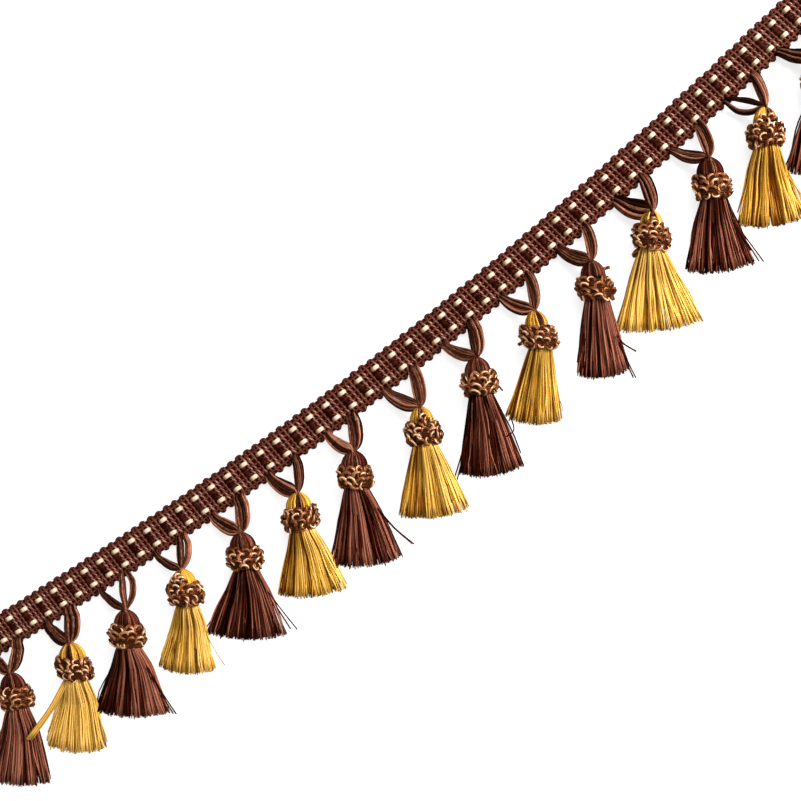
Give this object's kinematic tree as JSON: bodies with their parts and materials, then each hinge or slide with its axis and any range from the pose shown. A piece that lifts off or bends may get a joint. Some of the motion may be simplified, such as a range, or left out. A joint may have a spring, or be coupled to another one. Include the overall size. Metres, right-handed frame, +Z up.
{
  "type": "tassel fringe trim",
  "caption": "Woven brown gimp braid with scalloped edges and two rows of cream stitches, carrying a row of brown and gold yarn tassels with knotted ruffs on yarn loops, laid flat.",
  "frame": {"origin": "on the surface that the trim lies on, under the middle of the whole trim's box", "axes": "+X along the heading, the tassels lie towards -Y, +Z up from the surface"},
  "size_m": [0.4912, 0.0916, 0.0126],
  "materials": {
    "heading": "lustrous twisted brown cords laid across, with cream stitches and dark satin pads",
    "loop": "smooth dark brown yarn",
    "tassel_brown": "soft lustrous brown yarn",
    "tassel_gold": "soft lustrous gold yarn",
    "ruff": "knotted cord of brown and gold yarn twisted together"
  },
  "bodies": {
    "root": {"heading": "heading", "loop_01": "loop", "loop_02": "loop", "loop_03": "loop", "loop_04": "loop", "loop_05": "loop", "loop_06": "loop", "loop_07": "loop", "loop_08": "loop", "loop_09": "loop", "loop_10": "loop", "loop_11": "loop", "loop_12": "loop", "loop_13": "loop", "loop_14": "loop", "loop_15": "loop", "tassel_01": "tassel_brown", "tassel_02": "tassel_gold", "tassel_03": "tassel_brown", "tassel_04": "tassel_gold", "tassel_05": "tassel_brown", "tassel_06": "tassel_gold", "tassel_07": "tassel_brown", "tassel_08": "tassel_gold", "tassel_09": "tassel_brown", "tassel_10": "tassel_gold", "tassel_11": "tassel_brown", "tassel_12": "tassel_gold", "tassel_13": "tassel_brown", "tassel_14": "tassel_gold", "tassel_15": "tassel_brown", "ruff_01": "ruff", "ruff_02": "ruff", "ruff_03": "ruff", "ruff_04": "ruff", "ruff_05": "ruff", "ruff_06": "ruff", "ruff_07": "ruff", "ruff_08": "ruff", "ruff_09": "ruff", "ruff_10": "ruff", "ruff_11": "ruff", "ruff_12": "ruff", "ruff_13": "ruff", "ruff_14": "ruff", "ruff_15": "ruff"}
  },
  "joints": []
}
